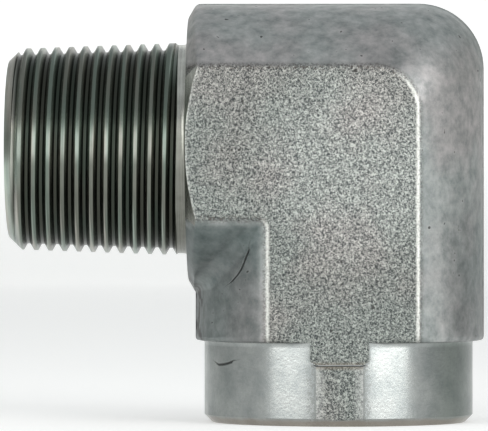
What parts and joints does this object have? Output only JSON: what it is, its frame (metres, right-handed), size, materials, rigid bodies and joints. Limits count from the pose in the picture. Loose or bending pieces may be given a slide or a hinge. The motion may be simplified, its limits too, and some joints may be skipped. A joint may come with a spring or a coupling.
{
  "type": "hydraulic elbow adapter",
  "caption": "Forged steel street elbow that turns a pipe run through a right angle, with a male and a female taper pipe thread and flat wrench pads.",
  "frame": {"origin": "where the axes of the two ports cross, inside the bend", "axes": "male port towards -X, female port towards -Z, wrench pads facing -Y and +Y"},
  "size_m": [0.0604, 0.0336, 0.0532],
  "materials": {
    "zinc_plated_steel": "clear passivated zinc plating over shot-blasted forged steel, with turned ends"
  },
  "bodies": {
    "root": {"elbow_body": "zinc_plated_steel"}
  },
  "joints": []
}
